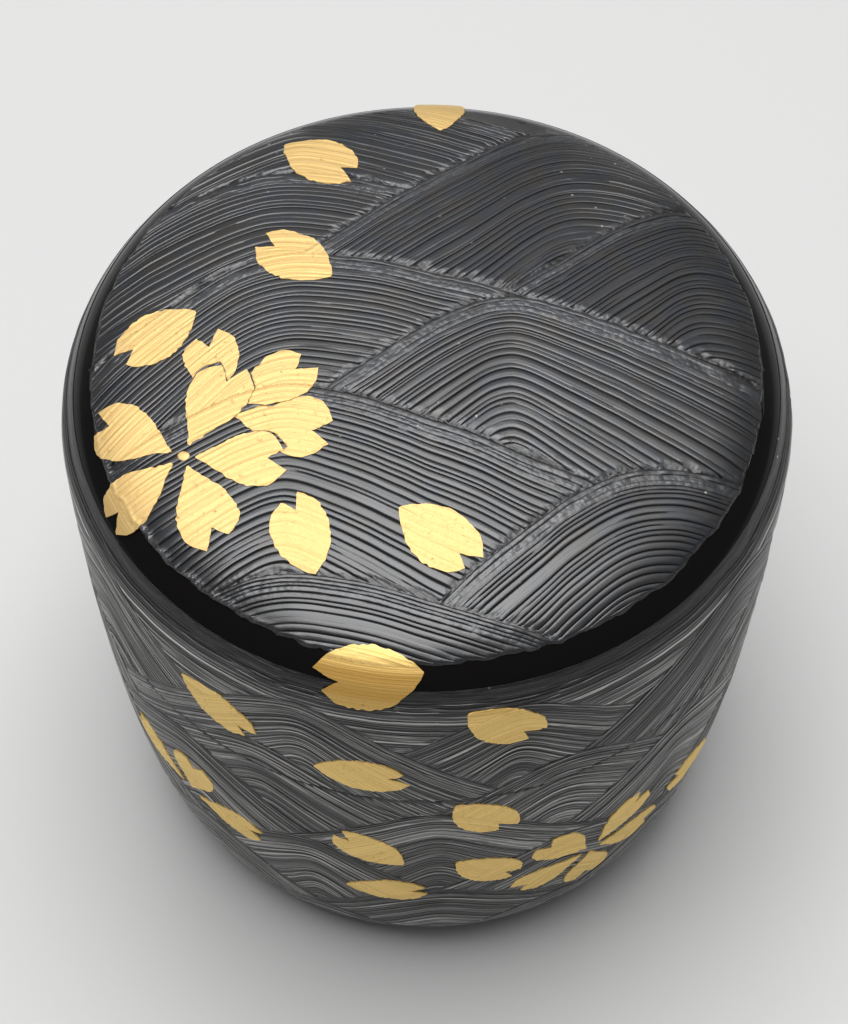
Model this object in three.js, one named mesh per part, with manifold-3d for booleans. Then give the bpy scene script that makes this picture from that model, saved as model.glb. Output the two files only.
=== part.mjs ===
// Natsume tea caddy: a turned wooden cup and its lift-off lid, lacquered black,
// combed in waves on the crown and the side, and scattered with gold cherry petals.
import * as THREE from 'three'
import { mergeVertices } from 'three/addons/utils/BufferGeometryUtils.js'
import Module from 'manifold-3d'

const wasm = await Module()
wasm.setup()

// Outside shape of the closed caddy, in millimetres: +Z up, origin under the middle of the foot
const height = 68
const widestRadius = 33.4
const shoulderDrop = 10.6
const shoulderReach = 7.4
const crownRise = 2.55
const heelInset = 5.8
const heelHeight = 3.3
const heelLeanDegrees = 44
const footInset = 7.4

// How far each curve of the outline runs straight on from its ends, as shares of its own rise or run
const shoulderPullShares = [0.83, 0.45]
const sidePullShares = [0.35, 0.12]
const heelPullShares = [0.4, 0.48]

// Where the lid parts from the body, and how it sits
const lidHeight = 24.5
const seatGap = 0.15
const fitClearance = 0.2
const upstandHeight = 6.5
const upstandWall = 1.5
const lidWall = 2.3

// Layers, counted from the tops of the combed ridges inwards
const combedThickness = 0.35
const groundThickness = 0.27
const liningThickness = 0.35
const layerGap = 0.08

// The smooth band that the combing leaves bare round the shoulder, measured along the outline
const crownCombOverhang = 4.93
const shoulderBandWidth = 3.3

// The foot is a low ring with a shallow hollow inside it
const footRingWidth = 2.2
const footHollowDepth = 0.6

// Cherry petals of gold lacquer: their sizes are shares of the widest radius
const petalLengthShare = 0.24251
const petalWidthShare = 0.15868
const heartRadiusShare = 0.01647
const heartReachShare = 0.03443
const goldThickness = 0.15
const goldLift = 0.09
const petalClearance = 0.12
const petalCutReach = 1.2

// Facets
const turns = 36
const crownSteps = 3
const shoulderSteps = 4
const lidSideSteps = 1
const bodySideSteps = 5
const closingPower = 1.6
const heelSteps = 3
const petalColumns = 4
const heartSides = 10

// Finishes
const combedLacquer = new THREE.MeshStandardMaterial({ color: 0x232124, roughness: 0.34, metalness: 0 })
const groundLacquer = new THREE.MeshStandardMaterial({ color: 0x0b0a0a, roughness: 0.12, metalness: 0 })
const liningLacquer = new THREE.MeshStandardMaterial({ color: 0x0e0c0c, roughness: 0.16, metalness: 0 })
const turnedWood = new THREE.MeshStandardMaterial({ color: 0x9a6e42, roughness: 0.7, metalness: 0 })
const goldLacquer = new THREE.MeshStandardMaterial({ color: 0xe3c06a, roughness: 0.36, metalness: 0.9 })

const caddy = new THREE.Group()
const body = new THREE.Group()
const lid = new THREE.Group()
caddy.add(body, lid)

// Outline of the outside, from the middle of the crown down to the edge of the foot
const crownRadius = widestRadius - shoulderReach
const widestHeight = height - shoulderDrop
const heelRadius = widestRadius - heelInset
const footRadius = heelRadius - footInset
const crownMiddle = new THREE.Vector2(0, height)
const crownEdge = new THREE.Vector2(crownRadius, height - crownRise)
const widest = new THREE.Vector2(widestRadius, widestHeight)
const heel = new THREE.Vector2(heelRadius, heelHeight)
const footEdge = new THREE.Vector2(footRadius, 0)
const crownFall = new THREE.Vector2(crownRadius, -2 * crownRise).normalize()
const heelLean = THREE.MathUtils.degToRad(heelLeanDegrees)
const heelFall = new THREE.Vector2(-Math.sin(heelLean), -Math.cos(heelLean))

function runOn(point, direction, distance) {
  return point.clone().addScaledVector(direction, distance)
}

const down = new THREE.Vector2(0, -1)
const outward = new THREE.Vector2(1, 0)
const shoulderFall = crownEdge.y - widestHeight
const sideFall = widestHeight - heelHeight
const outline = new THREE.CurvePath()
outline.add(new THREE.CubicBezierCurve(
  crownMiddle,
  runOn(crownMiddle, outward, crownRadius / 3),
  runOn(crownEdge, crownFall, -crownRadius / 3),
  crownEdge))
outline.add(new THREE.CubicBezierCurve(
  crownEdge,
  runOn(crownEdge, crownFall, shoulderReach * shoulderPullShares[0]),
  runOn(widest, down, -shoulderFall * shoulderPullShares[1]),
  widest))
outline.add(new THREE.CubicBezierCurve(
  widest,
  runOn(widest, down, sideFall * sidePullShares[0]),
  runOn(heel, heelFall, -sideFall * sidePullShares[1]),
  heel))
outline.add(new THREE.CubicBezierCurve(
  heel,
  runOn(heel, heelFall, footInset * heelPullShares[0]),
  runOn(footEdge, outward, footInset * heelPullShares[1]),
  footEdge))
const [crownEnd, shoulderEnd, sideEnd, outlineLength] = outline.getCurveLengths()

// The outline's point and outward normal, at a length measured along it from the middle of the crown
function outlineAt(length) {
  const share = THREE.MathUtils.clamp(length / outlineLength, 0, 1)
  const tangent = outline.getTangent(share)
  return { point: outline.getPoint(share), normal: new THREE.Vector2(-tangent.y, tangent.x) }
}

function lengthAtHeight(level) {
  let above = 0
  let below = outlineLength
  for (let halving = 0; halving < 50; halving += 1) {
    const middle = (above + below) / 2
    if (outlineAt(middle).point.y > level) above = middle
    else below = middle
  }
  return (above + below) / 2
}

// A point of a layer's section: so deep under the outline, or moved level with a rim
function deep(length, depth, level) {
  const { point, normal } = outlineAt(length)
  const moved = runOn(point, normal, -depth)
  if (length === 0) moved.x = 0
  if (level !== undefined) moved.y = level
  return moved
}

function evenly(from, to, steps) {
  return Array.from({ length: steps + 1 }, (_, step) => from + ((to - from) * step) / steps)
}

// As evenly, but closer together towards the far end, where the side turns under
function closingUp(from, to, steps) {
  return evenly(1, 0, steps).map((left) => to - (to - from) * left ** closingPower)
}

// Lengths along the outline at which every layer has a ring of points
const seamHeight = height - lidHeight
const lidSeamLength = lengthAtHeight(seamHeight)
const seatHeight = seamHeight - seatGap
const bodySeamLength = lengthAtHeight(seatHeight)
const crownCombLength = crownEnd + crownCombOverhang
const sideCombLength = crownCombLength + shoulderBandWidth
const lidLengths = [
  ...evenly(0, crownEnd, crownSteps),
  ...evenly(crownEnd, shoulderEnd, shoulderSteps).slice(1),
  ...evenly(shoulderEnd, lidSeamLength, lidSideSteps).slice(1)]
const bodyLengths = [
  ...closingUp(bodySeamLength, sideEnd, bodySideSteps),
  ...evenly(sideEnd, outlineLength, heelSteps).slice(1)]

// The lengths between two ends, with the ends themselves
function lengthsBetween(lengths, from, to) {
  return [from, ...lengths.filter((length) => length > from && length < to), to]
}

// A section of points becomes a solid of revolution about +Z
function turn(points) {
  return new THREE.LatheGeometry(points, turns).rotateX(Math.PI / 2)
}

function addPiece(group, name, geometry, material) {
  const mesh = new THREE.Mesh(geometry, material)
  mesh.name = name
  group.add(mesh)
}

function closed(points) {
  return [...points, points[0].clone()]
}

// A layer of the lid or body: in along its inner face and back along its outer face
function layerSection(lengths, outerDepth, innerDepth, level) {
  const last = lengths.length - 1
  const rim = (depth) => (length, index) => deep(length, depth, index === last ? level : undefined)
  return [...lengths.map(rim(innerDepth)), ...lengths.map(rim(outerDepth)).reverse()]
}

// Depths of the layers' faces under the outline
const groundDepth = combedThickness + layerGap
const coreDepth = groundDepth + groundThickness + layerGap
const bodyWall = lidWall + fitClearance + upstandWall

// Lid: combed crown, combed side, ground coat, wooden core and lining
const crownComb = lengthsBetween(lidLengths, 0, crownCombLength)
addPiece(lid, 'lid_crown_combed_lacquer', turn(layerSection(crownComb, 0, combedThickness)), combedLacquer)

const lidSideComb = lengthsBetween(lidLengths, sideCombLength, lidSeamLength)
addPiece(lid, 'lid_side_combed_lacquer',
  turn(closed(layerSection(lidSideComb, 0, combedThickness, seamHeight))), combedLacquer)

addPiece(lid, 'lid_ground_lacquer',
  turn(layerSection(lidLengths, groundDepth, groundDepth + groundThickness, seamHeight)), groundLacquer)

const lidCoreRim = seamHeight + liningThickness + layerGap
const lidLiningBack = lidWall - liningThickness
addPiece(lid, 'lid_wood_core',
  turn(layerSection(lidLengths, coreDepth, lidLiningBack - layerGap, lidCoreRim)), turnedWood)

// The lining turns outwards under the core's rim and stops at the ground coat
function lidLiningSection() {
  const last = lidLengths.length - 1
  const backLevel = seamHeight + liningThickness
  const face = (depth, level) => {
    return lidLengths.map((length, index) => deep(length, depth, index === last ? level : undefined))
  }
  const rim = [deep(lidSeamLength, coreDepth, seamHeight), deep(lidSeamLength, coreDepth, backLevel)]
  return [...face(lidWall, seamHeight), ...rim, ...face(lidLiningBack, backLevel).reverse()]
}
addPiece(lid, 'lid_lining_lacquer', turn(lidLiningSection()), liningLacquer)

// Body: combed side, ground coat, core with its upstand, lining and foot
const bodyComb = lengthsBetween(bodyLengths, bodySeamLength, sideEnd)

// A layer of the body's side, whose first ring is level with the seat
function sideLayerSection(lengths, outerDepth, innerDepth) {
  const ring = (depth) => (length, index) => deep(length, depth, index === 0 ? seatHeight : undefined)
  return closed([...lengths.map(ring(innerDepth)), ...lengths.map(ring(outerDepth)).reverse()])
}
addPiece(body, 'body_side_combed_lacquer',
  turn(sideLayerSection(bodyComb, 0, combedThickness)), combedLacquer)
addPiece(body, 'body_ground_lacquer',
  turn(sideLayerSection(bodyLengths, groundDepth, groundDepth + groundThickness)), groundLacquer)

// The upstand fits inside the lid's bore, and its inside runs straight up from the cup's wall
const lidBore = deep(lidSeamLength, lidWall).x
const upstandRadius = lidBore - fitClearance
const upstandBore = upstandRadius - upstandWall
const upstandTop = seatHeight + upstandHeight
const floorHeight = bodyWall

// Section of the cup's inside, from the middle of the floor to the top of the upstand
function cupInside(backset) {
  const wall = bodyLengths.slice(1).map((length) => deep(length, bodyWall - backset)).reverse()
  const bore = upstandBore + backset
  return [
    new THREE.Vector2(0, floorHeight - backset),
    ...wall,
    new THREE.Vector2(bore, seatHeight),
    new THREE.Vector2(bore, upstandTop - backset)]
}

// The hollow under the foot, from its middle out to the ring
const footRingBore = footRadius - footRingWidth
function footHollow(rise) {
  return [
    new THREE.Vector2(0, footHollowDepth + rise),
    new THREE.Vector2(footRingBore - footHollowDepth, footHollowDepth + rise),
    new THREE.Vector2(footRingBore, rise)]
}

const coreBackset = liningThickness + layerGap
const coreOutside = bodyLengths.map((length, index) => {
  return deep(length, coreDepth, index === 0 ? seatHeight - coreBackset : undefined)
})
const coreSection = [
  ...footHollow(coreDepth),
  ...coreOutside.reverse(),
  new THREE.Vector2(upstandRadius - coreBackset, seatHeight - coreBackset),
  new THREE.Vector2(upstandRadius - coreBackset, upstandTop - coreBackset),
  ...cupInside(coreBackset).reverse()]
addPiece(body, 'body_wood_core', turn(coreSection), turnedWood)

// The lining goes up the cup, over the upstand, down its outside and out over the seat
const seatEdge = deep(bodySeamLength, coreDepth).x
const bodyLiningSection = [
  ...cupInside(liningThickness),
  new THREE.Vector2(upstandRadius - liningThickness, upstandTop - liningThickness),
  new THREE.Vector2(upstandRadius - liningThickness, seatHeight - liningThickness),
  new THREE.Vector2(seatEdge, seatHeight - liningThickness),
  new THREE.Vector2(seatEdge, seatHeight),
  new THREE.Vector2(upstandRadius, seatHeight),
  new THREE.Vector2(upstandRadius, upstandTop),
  ...cupInside(0).reverse()]
addPiece(body, 'body_lining_lacquer', turn(bodyLiningSection), liningLacquer)

const footOutside = footRadius - layerGap
const footSection = [
  ...footHollow(0),
  new THREE.Vector2(footOutside, 0),
  new THREE.Vector2(footOutside, coreDepth - layerGap),
  ...footHollow(coreDepth - layerGap).reverse()]
addPiece(body, 'foot_lacquer', turn(footSection), groundLacquer)

// Edge of a cherry petal, from its tip to a lobe: shares of the length and of half the width
const petalEdgeShares = [[0, 0.07], [0.17, 0.56], [0.42, 0.96], [0.68, 0.98], [0.89, 0.7], [1, 0.28]]
const notchShare = 0.18
const notchPullPower = 4

// A point on the outside, so far out from the outline
function surfacePoint(azimuth, length, lift) {
  const { point, normal } = outlineAt(length)
  const ring = runOn(point, normal, lift)
  return new THREE.Vector3(ring.x * Math.cos(azimuth), ring.x * Math.sin(azimuth), ring.y)
}

// Lays a flat step from a place on the caddy: as a map seen from above on the crown, by girth on the side
function layOnCrown(place, right, up, lift) {
  const x = place.x + right
  const y = place.y + up
  return surfacePoint(Math.atan2(y, x), Math.hypot(x, y), lift)
}

function layOnSide(place, right, up, lift) {
  const girthRadius = outlineAt(place.length).point.x
  return surfacePoint(place.azimuth + right / girthRadius, place.length - up, lift)
}

// A closed sheet over a grid of flat points: its underside, its top and the edge between them
function sheetGeometry(rows, lay, low, high) {
  const columns = rows[0].length
  const positions = []
  const indices = []
  for (const lift of [low, high]) {
    for (const row of rows) {
      for (const [right, up] of row) positions.push(...lay(right, up, lift).toArray())
    }
  }
  const at = (side, row, column) => (side * rows.length + row) * columns + column
  const quad = (a, b, c, d) => indices.push(a, c, b, a, d, c)
  for (let row = 1; row < rows.length; row += 1) {
    for (let column = 1; column < columns; column += 1) {
      quad(at(1, row - 1, column - 1), at(1, row, column - 1), at(1, row, column), at(1, row - 1, column))
      quad(at(0, row - 1, column - 1), at(0, row - 1, column), at(0, row, column), at(0, row, column - 1))
    }
    const last = columns - 1
    quad(at(0, row - 1, 0), at(0, row, 0), at(1, row, 0), at(1, row - 1, 0))
    quad(at(0, row, last), at(0, row - 1, last), at(1, row - 1, last), at(1, row, last))
  }
  const end = rows.length - 1
  for (let column = 1; column < columns; column += 1) {
    quad(at(0, 0, column), at(0, 0, column - 1), at(1, 0, column - 1), at(1, 0, column))
    quad(at(0, end, column - 1), at(0, end, column), at(1, end, column), at(1, end, column - 1))
  }
  const geometry = new THREE.BufferGeometry()
  geometry.setAttribute('position', new THREE.Float32BufferAttribute(positions, 3))
  geometry.setIndex(indices)
  return geometry
}

const petalLength = widestRadius * petalLengthShare
const petalWidth = widestRadius * petalWidthShare

// Flat rows of a petal about its tip. The middle is drawn back at the far end, which leaves the notch.
function petalRows(heading, sizeShare, grow) {
  const length = petalLength * sizeShare
  const halfWidth = (petalWidth * sizeShare) / 2
  const direction = THREE.MathUtils.degToRad(heading)
  const growShares = [-1, ...petalEdgeShares.slice(2).map(() => 0), 1]
  return petalEdgeShares.map(([alongShare, acrossShare], row) => {
    const drawBack = notchShare * alongShare ** notchPullPower
    return evenly(1, -1, petalColumns).map((column) => {
      const along = length * (alongShare - drawBack * (1 - Math.abs(column))) + grow * growShares[row]
      const across = column * (halfWidth * acrossShare + grow)
      return [
        along * Math.cos(direction) - across * Math.sin(direction),
        along * Math.sin(direction) + across * Math.cos(direction)]
    })
  })
}

// A petal as it is given: where its tip lies, where it points, its size, and how it is laid
function petalSheet(petal, grow, low, high) {
  const lay = (right, up, lift) => petal.lay(petal.place, right, up, lift)
  return sheetGeometry(petalRows(petal.heading, petal.sizeShare, grow), lay, low, high)
}

function toManifold(geometry) {
  const merged = mergeVertices(geometry)
  return new wasm.Manifold(new wasm.Mesh({
    numProp: 3,
    vertProperties: new Float32Array(merged.attributes.position.array),
    triVerts: new Uint32Array(merged.index.array) }))
}

function fromManifold(solid) {
  const mesh = solid.getMesh()
  const geometry = new THREE.BufferGeometry()
  geometry.setAttribute('position', new THREE.Float32BufferAttribute(mesh.vertProperties, 3))
  geometry.setIndex([...mesh.triVerts])
  return geometry
}

// Gold lies just clear of the combed ridges. A petal behind others stops short of them.
const goldTop = goldLift + goldThickness
function addPetal(group, name, petal, inFront = []) {
  const sheet = petalSheet(petal, 0, goldLift, goldTop)
  if (inFront.length === 0) {
    addPiece(group, name, sheet, goldLacquer)
    return
  }
  let solid = toManifold(sheet)
  for (const front of inFront) {
    const cutter = petalSheet(front, petalClearance, goldLift - petalCutReach, goldTop + petalCutReach)
    solid = solid.subtract(toManifold(cutter))
  }
  addPiece(group, name, fromManifold(solid), goldLacquer)
}

// Places on the crown are shares of the widest radius, to the right and away from the front
function onCrown([rightShare, backShare, heading, sizeShare]) {
  const place = { x: widestRadius * rightShare, y: widestRadius * backShare }
  return { place, heading, sizeShare, lay: layOnCrown }
}

// Places on the side are a bearing in degrees from +X and a share of a distance down from a start
function onSide([bearing, downShare, heading, sizeShare], start, distance) {
  const place = { azimuth: THREE.MathUtils.degToRad(bearing), length: start + distance * downShare }
  return { place, heading, sizeShare, lay: layOnSide }
}

// The petals of a blossom point away from its heart
const heartRadius = widestRadius * heartRadiusShare
const heartReach = widestRadius * heartReachShare
function blossomPetal(centre, [heading, sizeShare]) {
  const direction = THREE.MathUtils.degToRad(heading)
  const right = heartReach * Math.cos(direction)
  const up = heartReach * Math.sin(direction)
  const place = centre.lay === layOnCrown
    ? { x: centre.place.x + right, y: centre.place.y + up }
    : {
      azimuth: centre.place.azimuth + right / outlineAt(centre.place.length).point.x,
      length: centre.place.length - up }
  return { place, heading, sizeShare, lay: centre.lay }
}

// Loose petals on the crown: right, back, heading in degrees and size
const crownPetalShares = {
  crown_petal_back: [0.04, 0.79, 92, 0.92],
  crown_petal_rear_left: [-0.405, 0.749, -35, 1.02],
  crown_petal_middle: [-0.258, 0.226, 144, 1],
  crown_petal_left: [-0.626, 0.135, -146, 1],
  crown_petal_front_left: [-0.285, -0.681, 108, 0.95],
  crown_petal_front: [-0.07, -0.5, -39, 1.02] }
for (const [name, shares] of Object.entries(crownPetalShares)) addPetal(lid, name, onCrown(shares))

// The blossom at the left of the crown, and the heading and size of its petals
const crownBlossomShares = [-0.64, -0.323, 0, 1]
const crownBlossomPetalShares = [[69, 1.02], [-7, 0.98], [-69, 1], [-142, 0.97], [152, 1.02]]
const crownBlossom = onCrown(crownBlossomShares)
const crownBlossomPetals = crownBlossomPetalShares.map((shares) => blossomPetal(crownBlossom, shares))
crownBlossomPetals.forEach((petal, index) => addPetal(lid, `crown_blossom_petal_${index + 1}`, petal))

// Its heart is a dot of gold
function dotRows(radius) {
  const corners = evenly(0, 2 * Math.PI, heartSides).slice(1)
  const half = heartSides / 2
  const rim = corners.map((angle) => [radius * Math.cos(angle), radius * Math.sin(angle)])
  return Array.from({ length: half }, (_, row) => [rim[heartSides - 1 - row], rim[row]])
}
const layHeart = (right, up, lift) => layOnCrown(crownBlossom.place, right, up, lift)
const heartSheet = sheetGeometry(dotRows(heartRadius), layHeart, goldLift, goldTop)
addPiece(lid, 'crown_blossom_heart', heartSheet, goldLacquer)

// A second blossom half hidden behind the first
const rearBlossomShares = [-0.54, -0.2, 0, 1]
const rearBlossomPetalShares = [[101, 0.92], [32, 0.98], [-15, 1.1]]
const rearBlossom = onCrown(rearBlossomShares)
const rearBlossomPetals = rearBlossomPetalShares.map((shares) => blossomPetal(rearBlossom, shares))
rearBlossomPetals.forEach((petal, index) => {
  const inFront = [...crownBlossomPetals, ...rearBlossomPetals.slice(0, index)]
  addPetal(lid, `rear_blossom_petal_${index + 1}`, petal, inFront)
})

// Loose petals on the lid's shoulder and side: bearing, way down the lid, heading and size
const lidPetalShares = {
  shoulder_petal: [-90.5, 0.602, -168, 1.12],
  lid_petal_right: [-84, 0.668, -40, 1],
  lid_petal_left: [-130.3, 0.811, -30, 1.02],
  lid_petal_front: [-107.5, 0.915, 0, 1.04] }
for (const [name, shares] of Object.entries(lidPetalShares)) {
  addPetal(lid, name, onSide(shares, 0, lidSeamLength))
}

// Loose petals on the body: bearing, distance below the seam over the widest radius, heading and size
const onBody = (shares) => onSide(shares, bodySeamLength, widestRadius)
const bodyPetalShares = {
  body_petal_high: [-85.5, 0.035, -51, 0.99],
  body_petal_front: [-94, 0.452, 138, 1],
  body_petal_low: [-104.2, 0.692, 5, 0.98],
  body_petal_middle: [-85, 0.442, -42, 1],
  body_petal_right: [-28.5, 0.707, 153, 1] }
for (const [name, shares] of Object.entries(bodyPetalShares)) addPetal(body, name, onBody(shares))

// A whole blossom to the right of the front, and three petals of another at the left
function addBodyBlossom(name, centreShares, petalShares) {
  petalShares.forEach((shares, index) => {
    addPetal(body, `${name}_${index + 1}`, blossomPetal(onBody(centreShares), shares))
  })
}
const rightBlossomShares = [-59.8, 0.648, 0, 1]
const rightBlossomPetalShares = [[130, 0.94], [52, 0.94], [-22, 0.94], [-88, 0.94], [-155, 0.94]]
addBodyBlossom('body_blossom_petal', rightBlossomShares, rightBlossomPetalShares)

const leftBlossomShares = [-135.5, 0.565, 0, 1]
const leftBlossomPetalShares = [[4, 0.96], [78, 0.96], [152, 0.96]]
addBodyBlossom('left_blossom_petal', leftBlossomShares, leftBlossomPetalShares)

export default caddy
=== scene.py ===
import math

import bpy
import numpy as np
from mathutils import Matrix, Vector


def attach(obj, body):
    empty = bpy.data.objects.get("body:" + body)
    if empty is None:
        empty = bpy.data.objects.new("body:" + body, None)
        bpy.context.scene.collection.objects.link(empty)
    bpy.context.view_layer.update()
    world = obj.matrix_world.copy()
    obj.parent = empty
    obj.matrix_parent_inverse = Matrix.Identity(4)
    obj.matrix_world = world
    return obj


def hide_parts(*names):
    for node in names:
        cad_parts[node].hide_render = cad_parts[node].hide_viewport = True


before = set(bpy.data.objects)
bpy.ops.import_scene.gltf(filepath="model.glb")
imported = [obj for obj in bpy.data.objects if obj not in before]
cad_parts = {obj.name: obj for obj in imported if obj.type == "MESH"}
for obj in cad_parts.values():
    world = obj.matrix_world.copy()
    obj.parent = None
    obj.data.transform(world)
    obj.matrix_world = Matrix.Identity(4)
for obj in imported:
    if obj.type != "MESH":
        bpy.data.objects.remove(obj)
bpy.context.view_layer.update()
mm = 0.001
print("frame loaded:", len(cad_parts), "nodes")


def addObject(name, data):
    thing = bpy.data.objects.new(name, data)
    bpy.context.collection.objects.link(thing)
    return thing


# camera, floor and light

view = {"elevation": 58.09, "distance": 267.97, "target": (-0.261, 0.0, 39.385), "lens": 96.8}


def addCamera():
    lean = math.radians(view["elevation"])
    back = np.array([0.0, -math.cos(lean), math.sin(lean)]) * view["distance"]
    camera = addObject("photoCamera", bpy.data.cameras.new("photoCamera"))
    camera.location = (np.array(view["target"]) + back) * mm
    camera.rotation_euler = (math.pi / 2 - lean, 0, 0)
    camera.data.lens = view["lens"]
    camera.data.sensor_width = 36
    camera.data.clip_start = 0.01
    bpy.context.scene.camera = camera
    bpy.context.scene.view_settings.view_transform = "Standard"


addCamera()


class Value:
    # A number socket, so that shader maths can be written as an expression
    def __init__(self, tree, socket):
        self.tree = tree
        self.socket = socket

    def math(self, operation, *others):
        node = self.tree.nodes.new("ShaderNodeMath")
        node.operation = operation
        for place, item in enumerate((self, *others)):
            if isinstance(item, Value):
                self.tree.links.new(item.socket, node.inputs[place])
            else:
                node.inputs[place].default_value = item
        return Value(self.tree, node.outputs[0])

    def __add__(self, other): return self.math("ADD", other)
    def __sub__(self, other): return self.math("SUBTRACT", other)
    def __rsub__(self, other): return (self * -1) + other
    def __mul__(self, other): return self.math("MULTIPLY", other)

    def between(self, low, high):
        return (self - low).math("DIVIDE", high - low).math("MAXIMUM", 0).math("MINIMUM", 1)


class Finish:
    # One material and its nodes
    def __init__(self, name):
        self.material = bpy.data.materials.new(name)
        self.material.use_nodes = True
        self.tree = self.material.node_tree
        self.shader = self.tree.nodes["Principled BSDF"]

    def node(self, kind, settings=None, **sockets):
        node = self.tree.nodes.new(kind)
        for key, item in (settings or {}).items():
            setattr(node, key, item)
        for key, item in sockets.items():
            self.join(item, node.inputs[key.replace("_", " ")])
        return node

    def join(self, item, socket):
        if isinstance(item, Value):
            self.tree.links.new(item.socket, socket)
        elif hasattr(item, "is_output"):
            self.tree.links.new(item, socket)
        else:
            socket.default_value = item

    def place(self, scale=(1, 1, 1)):
        coordinates = self.node("ShaderNodeTexCoord").outputs["Object"]
        return self.node("ShaderNodeMapping", Vector=coordinates, Scale=scale).outputs[0]

    def noise(self, scale, detail=2.0, roughness=0.5, where=None):
        node = self.node("ShaderNodeTexNoise", Vector=where or self.place(), Scale=scale,
                         Detail=detail, Roughness=roughness)
        return Value(self.tree, node.outputs["Fac"])

    def cells(self, scale):
        # Distance to the nearest of many scattered points, in shares of their spacing
        node = self.node("ShaderNodeTexVoronoi", Vector=self.place(), Scale=scale)
        return Value(self.tree, node.outputs["Distance"])

    def attribute(self, name):
        node = self.node("ShaderNodeAttribute", {"attribute_name": name})
        return Value(self.tree, node.outputs["Fac"])

    def mix(self, share, first, second):
        node = self.node("ShaderNodeMix", {"data_type": "RGBA"})
        self.join(share, node.inputs["Factor"])
        self.join(first, node.inputs[6])
        self.join(second, node.inputs[7])
        return node.outputs[2]

    def fineLines(self):
        # The comb's fine scratches: 0 to 1, along the ridges, more of them in some places
        phase = self.attribute("phase") * (2 * math.pi)
        drift = self.noise(190.0) * 6
        first, second = (phase * 1.55 + drift).math("SINE"), (phase * 2.65 - drift).math("SINE")
        return (first * 0.28 + second * 0.22) * self.noise(210.0).between(0.1, 0.45) + 0.5

    def bump(self, height, distance, strength):
        node = self.node("ShaderNodeBump", Height=height, Distance=distance, Strength=strength)
        self.tree.links.new(node.outputs[0], self.shader.inputs["Normal"])

    def set(self, **sockets):
        for key, item in sockets.items():
            self.join(item, self.shader.inputs[key.replace("_", " ")])


stage = {
    "floorSize": 4.0, "floorLevel": -0.00002, "backEdge": 0.9, "backdrop": (0, 0.25, 1.6),
    "floorColour": (0.545, 0.545, 0.54, 1), "farColour": (0.9, 0.9, 0.89, 1),
    "mottle": 0.985, "palerFrom": 0.24, "palerTo": 0.8,
    "worldColour": (0.20, 0.20, 0.207, 1), "lampAim": (0, 0, 0.03),
}


def addStage():
    bpy.ops.mesh.primitive_plane_add(size=stage["floorSize"], location=(0, 0, stage["floorLevel"]))
    floor = bpy.context.object
    floor.name = "floor"
    # The far edge is drawn up into a backdrop
    bpy.ops.object.mode_set(mode="EDIT")
    bpy.ops.mesh.select_mode(type="EDGE")
    bpy.ops.mesh.select_all(action="DESELECT")
    bpy.ops.object.mode_set(mode="OBJECT")
    for vertex in floor.data.vertices:
        if vertex.co.y > 0:
            vertex.co.y = stage["backEdge"]
    for edge in floor.data.edges:
        edge.select = all(floor.data.vertices[i].co.y > 0 for i in edge.vertices)
    bpy.ops.object.mode_set(mode="EDIT")
    bpy.ops.mesh.extrude_region_move(TRANSFORM_OT_translate={"value": stage["backdrop"]})
    bpy.ops.object.mode_set(mode="OBJECT")
    paper = Finish("palePaper")
    near = stage["floorColour"]
    dim = tuple(channel * stage["mottle"] for channel in near[:3]) + (1,)
    near = paper.mix(paper.noise(9.0), dim, near)
    # The paper is paler away from the object, so that it looks pale from the side too
    length = paper.node("ShaderNodeVectorMath", {"operation": "LENGTH"}, Vector=paper.place())
    far = Value(paper.tree, length.outputs["Value"]).between(stage["palerFrom"], stage["palerTo"])
    paper.set(Base_Color=paper.mix(far, near, stage["farColour"]), Roughness=0.75,
              Specular_IOR_Level=0.2)
    floor.data.materials.append(paper.material)
    world = bpy.context.scene.world or bpy.data.worlds.new("room")
    bpy.context.scene.world = world
    world.use_nodes = True
    background = world.node_tree.nodes["Background"]
    background.inputs["Color"].default_value = stage["worldColour"]
    background.inputs["Strength"].default_value = 1.0


def addLamp(name, place, power, size=None, wide=None):
    # A rectangle of light, or a wide soft sun, aimed at the object
    data = bpy.data.lights.new(name, "AREA" if size else "SUN")
    data.energy = power
    if size:
        data.shape = "RECTANGLE"
        data.size, data.size_y = size
    else:
        data.angle = math.radians(wide)
    lamp = addObject(name, data)
    lamp.location = place
    aim = Vector(stage["lampAim"]) - Vector(place)
    lamp.rotation_euler = aim.to_track_quat("-Z", "Y").to_euler()


addStage()
addLamp("overheadSoftbox", (-0.05, 0.02, 0.62), power=4.6, size=(0.52, 0.38))
addLamp("wideFill", (0.22, 0.28, 1.1), power=0.86, wide=60)
print("camera and stage placed")


# the outline, in millimetres, as the CAD has it

shape = {
    "height": 68.0, "widest": 33.4, "shoulderDrop": 10.6, "shoulderReach": 7.4, "crownRise": 2.55,
    "heelInset": 5.8, "heelHeight": 3.3, "heelLean": 44.0, "footInset": 7.4, "lidHeight": 24.5,
    "seatGap": 0.15, "seamAbove": 0.05, "fit": 0.2, "upstandHeight": 6.5, "upstandWall": 1.5,
    "lidWall": 2.3, "combStart": 4.93, "band": 3.3,
    "shoulderPull": (0.83, 0.45), "sidePull": (0.35, 0.12), "heelPull": (0.4, 0.48),
}


def bezier(corners, count=500):
    t = np.linspace(0, 1, count)[:, None]
    a, b, c, d = (np.array(corner, float) for corner in corners)
    return (1 - t) ** 3 * a + 3 * t * (1 - t) ** 2 * b + 3 * t * t * (1 - t) * c + t ** 3 * d


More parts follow.
